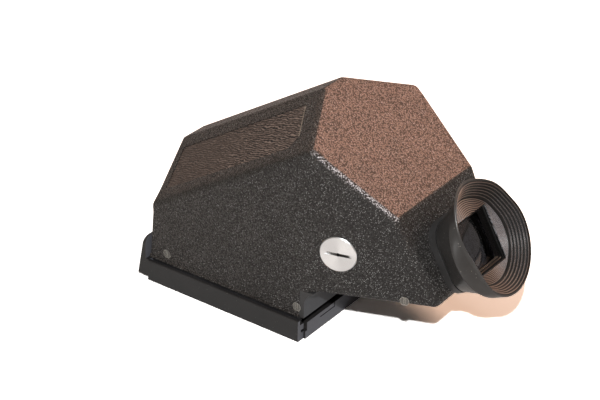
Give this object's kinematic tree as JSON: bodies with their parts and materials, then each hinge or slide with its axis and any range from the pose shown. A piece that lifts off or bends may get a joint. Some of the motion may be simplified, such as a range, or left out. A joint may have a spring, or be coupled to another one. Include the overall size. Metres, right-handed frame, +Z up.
{
  "type": "prism viewfinder",
  "caption": "Medium-format camera prism viewfinder: crinkle-finished housing over a roof prism, tilted eyepiece with rubber eyecup, coin-slot socket plug, slide-on bottom cover.",
  "frame": {"origin": "centre of the underside of the bottom cover, on the surface it rests on", "axes": "+Z up, +Y towards the subject along the slide, the eyepiece looks out towards -Y and up, the socket plug is on the -X side"},
  "size_m": [0.0736, 0.1436, 0.0857],
  "materials": {
    "crinkle_paint": "black crinkle finish",
    "leatherette": "dark grained leatherette",
    "satin_paint": "smooth satin black",
    "black_anodised": "black anodised",
    "screw_steel": "blackened, worn at the slots",
    "cover_plastic": "smooth satin black",
    "prism_glass": "polished",
    "lens_glass": "polished and coated",
    "black_metal": "matt black",
    "cork": "fine cork sheet",
    "spring_steel": "rolled strip",
    "soft_rubber": "matt",
    "eyecup_rubber": "moulded, slightly shiny with handling",
    "retainer_metal": "darkened",
    "bush_brass": "turned",
    "washer_fibre": "fibre-filled",
    "turned_aluminium": "face turned, bright"
  },
  "bodies": {
    "finder": {"housing": "crinkle_paint", "leatherette_left": "leatherette", "leatherette_right": "leatherette", "closing_plate": "satin_paint", "slide_frame": "black_anodised", "side_screws": "screw_steel", "roof_prism": "prism_glass", "prism_seat": "black_metal", "seat_screws": "screw_steel", "seat_pads": "cork", "prism_clamp": "spring_steel", "clamp_pads": "soft_rubber", "clamp_screws": "screw_steel", "exit_mask": "black_metal", "eyepiece_bezel": "satin_paint", "eyepiece_screws": "screw_steel", "field_lens": "lens_glass", "lens_spacer": "black_metal", "eye_lens": "lens_glass", "lens_retainer": "retainer_metal", "socket_bush": "bush_brass"},
    "cover": {"bottom_cover": "cover_plastic"},
    "cup": {"eyecup": "eyecup_rubber"},
    "washer": {"plug_washer": "washer_fibre"},
    "plug": {"socket_plug": "turned_aluminium"}
  },
  "joints": [
    {"name": "cover_slide", "type": "slide", "parent": "finder", "child": "cover", "axis": [0, 1, 0], "range_m": [0, 0.072]},
    {"name": "eyecup_pull", "type": "slide", "parent": "finder", "child": "cup", "axis": [0, -0.866, 0.5], "range_m": [0, 0.009]},
    {"name": "plug_travel", "type": "slide", "parent": "finder", "child": "washer", "axis": [-0.9625, -0.2714, 0], "range_m": [0, 0.0036]},
    {"name": "plug_turn", "type": "hinge", "parent": "washer", "child": "plug", "pos_m": [-0.03114, -0.0475, 0.0389], "axis": [-0.9625, -0.2714, 0], "range_deg": [0, 1296]}
  ],
  "couplings": [
    {"joint": "plug_turn", "follows": "plug_travel", "rad_per_m": 6283.2}
  ]
}
